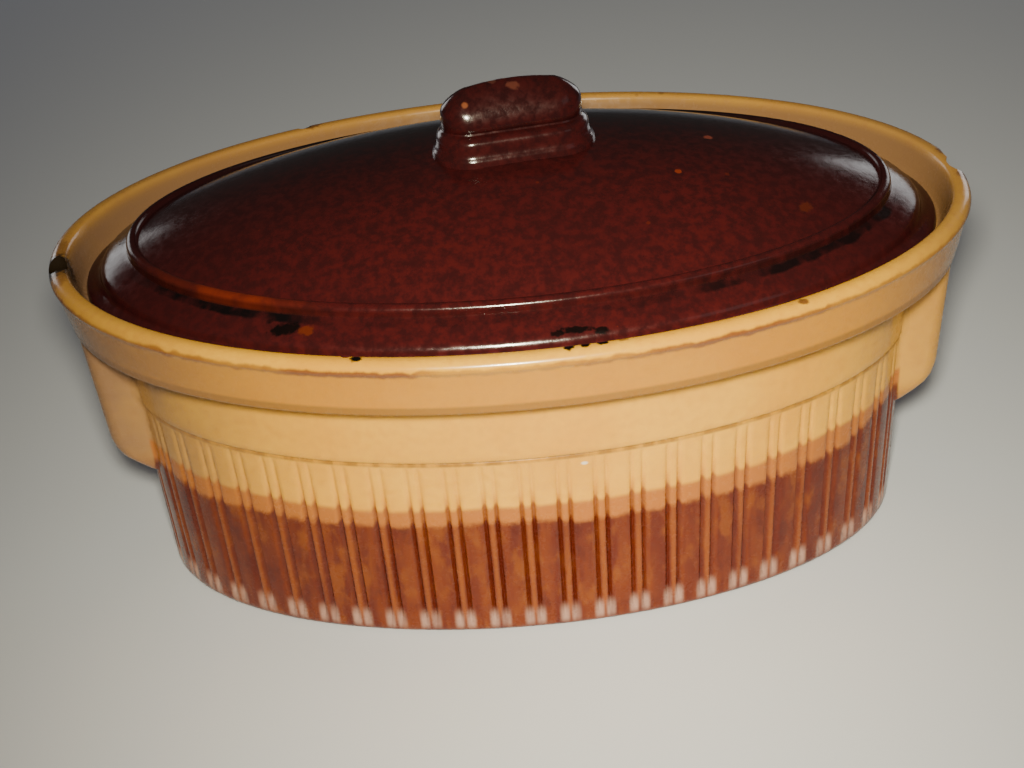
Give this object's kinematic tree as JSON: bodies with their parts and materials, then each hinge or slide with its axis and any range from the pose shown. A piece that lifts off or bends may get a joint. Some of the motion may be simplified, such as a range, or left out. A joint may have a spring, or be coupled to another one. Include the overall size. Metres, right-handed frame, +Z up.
{
  "type": "lidded oval terrine dish",
  "caption": "Oval fluted stoneware baking dish with a flared collar, solid end lugs and a domed lid with a bar-shaped grip, for baking and serving.",
  "frame": {"origin": "on the table, under the middle of the foot", "axes": "+Z up, +X along the length of the dish towards the lug on the right of the picture, +Y away from the viewer"},
  "size_m": [0.25, 0.156, 0.1377],
  "materials": {
    "dish_glaze": "glossy cream glaze above, red-brown glaze on the lower flutes, with a pink-brown strip where they overlap",
    "lid_glaze": "glossy mottled red-brown to near-black glaze"
  },
  "bodies": {
    "root": {"dish": "dish_glaze", "lid": "lid_glaze"}
  },
  "joints": []
}
